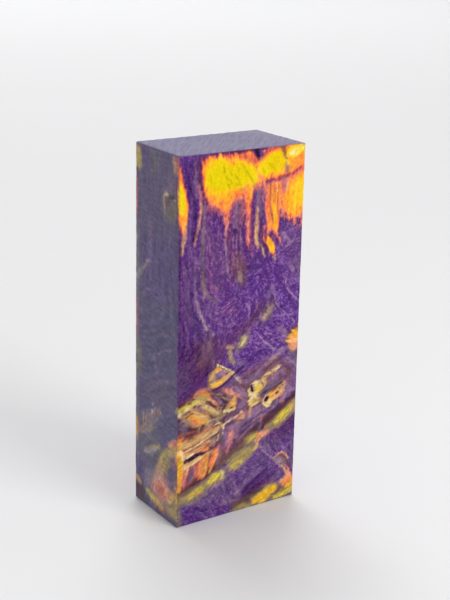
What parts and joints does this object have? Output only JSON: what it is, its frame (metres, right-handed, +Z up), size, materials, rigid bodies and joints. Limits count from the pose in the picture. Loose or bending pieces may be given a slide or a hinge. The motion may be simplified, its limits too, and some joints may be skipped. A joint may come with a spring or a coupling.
{
  "type": "stabilized burl block",
  "caption": "Sawn rectangular block of dyed, resin-stabilized maple burl that stands on its end, for knife handles, turning and carving.",
  "frame": {"origin": "centre of the sawn end that the block stands on", "axes": "+Z up along the length, X across the wide faces, -Y out of the polished wide face"},
  "size_m": [0.05, 0.029, 0.131],
  "materials": {
    "dyed_burl": "violet burl with yellow, orange and red dyed figure, sanded to a satin polish on the wide face and sanded matte on the narrow faces and ends"
  },
  "bodies": {
    "root": {"burl_block": "dyed_burl"}
  },
  "joints": []
}
